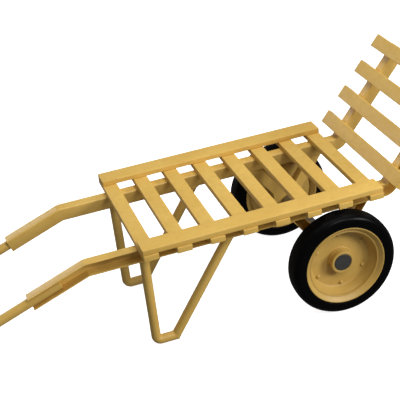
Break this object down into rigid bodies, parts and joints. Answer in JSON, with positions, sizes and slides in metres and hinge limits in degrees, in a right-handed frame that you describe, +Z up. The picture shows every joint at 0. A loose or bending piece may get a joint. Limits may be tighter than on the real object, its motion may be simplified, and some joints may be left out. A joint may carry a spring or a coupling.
{
  "type": "two-wheeled platform barrow",
  "caption": "Two-wheeled platform barrow: slatted deck on channel rails, leaning slatted headboard, pressed disc wheels on solid tyres, tube grips and braced tube legs.",
  "frame": {"origin": "on the ground, midway between the two ends of the barrow and on its middle plane", "axes": "X from the handles to the headboard, Y to the left side, Z up"},
  "size_m": [1.8372, 0.696, 0.7628],
  "materials": {
    "painted_wood": "ochre-yellow paint over planed boards",
    "painted_steel": "ochre-yellow paint, semi-matt",
    "tyre": "black solid rubber",
    "bare_steel": "bare grey steel, lightly oiled",
    "bush": "plain bronze bearing metal",
    "dark_cap": "dark blue-grey enamel",
    "zinc_steel": "dull zinc-plated steel"
  },
  "bodies": {
    "frame": {"axle": "bare_steel", "deck_screws": "zinc_steel", "deck_slat_1": "painted_wood", "deck_slat_2": "painted_wood", "deck_slat_3": "painted_wood", "deck_slat_4": "painted_wood", "deck_slat_5": "painted_wood", "deck_slat_6": "painted_wood", "deck_slat_7": "painted_wood", "deck_slat_8": "painted_wood", "headboard_screws": "zinc_steel", "headboard_slat_1": "painted_wood", "headboard_slat_2": "painted_wood", "headboard_slat_3": "painted_wood", "headboard_slat_4": "painted_wood", "left_axle_cap": "dark_cap", "left_axle_housing": "painted_steel", "left_grip_plug": "dark_cap", "left_grip_tube": "painted_steel", "left_hanger": "painted_steel", "left_leg_brace": "painted_steel", "left_leg_tube": "painted_steel", "left_rail": "painted_steel", "left_side_strip": "painted_wood", "left_spacer": "bare_steel", "right_axle_cap": "dark_cap", "right_axle_housing": "painted_steel", "right_grip_plug": "dark_cap", "right_grip_tube": "painted_steel", "right_hanger": "painted_steel", "right_leg_brace": "painted_steel", "right_leg_tube": "painted_steel", "right_rail": "painted_steel", "right_side_strip": "painted_wood", "right_spacer": "bare_steel", "spacer_set_screws": "zinc_steel", "strip_screws": "zinc_steel"},
    "left_wheel": {"left_tyre": "tyre", "left_rim": "painted_steel", "left_outer_disc": "painted_steel", "left_inner_disc": "painted_steel", "left_disc_rivets": "painted_steel", "left_hub": "painted_steel", "left_bush": "bush"},
    "right_wheel": {"right_tyre": "tyre", "right_rim": "painted_steel", "right_outer_disc": "painted_steel", "right_inner_disc": "painted_steel", "right_disc_rivets": "painted_steel", "right_hub": "painted_steel", "right_bush": "bush"}
  },
  "joints": [
    {"name": "left_wheel_spin", "type": "hinge", "parent": "frame", "child": "left_wheel", "pos_m": [0.38295, 0.306, 0.2], "axis": [0, 1, 0], "continuous": true},
    {"name": "right_wheel_spin", "type": "hinge", "parent": "frame", "child": "right_wheel", "pos_m": [0.38295, -0.306, 0.2], "axis": [0, 1, 0], "continuous": true}
  ]
}
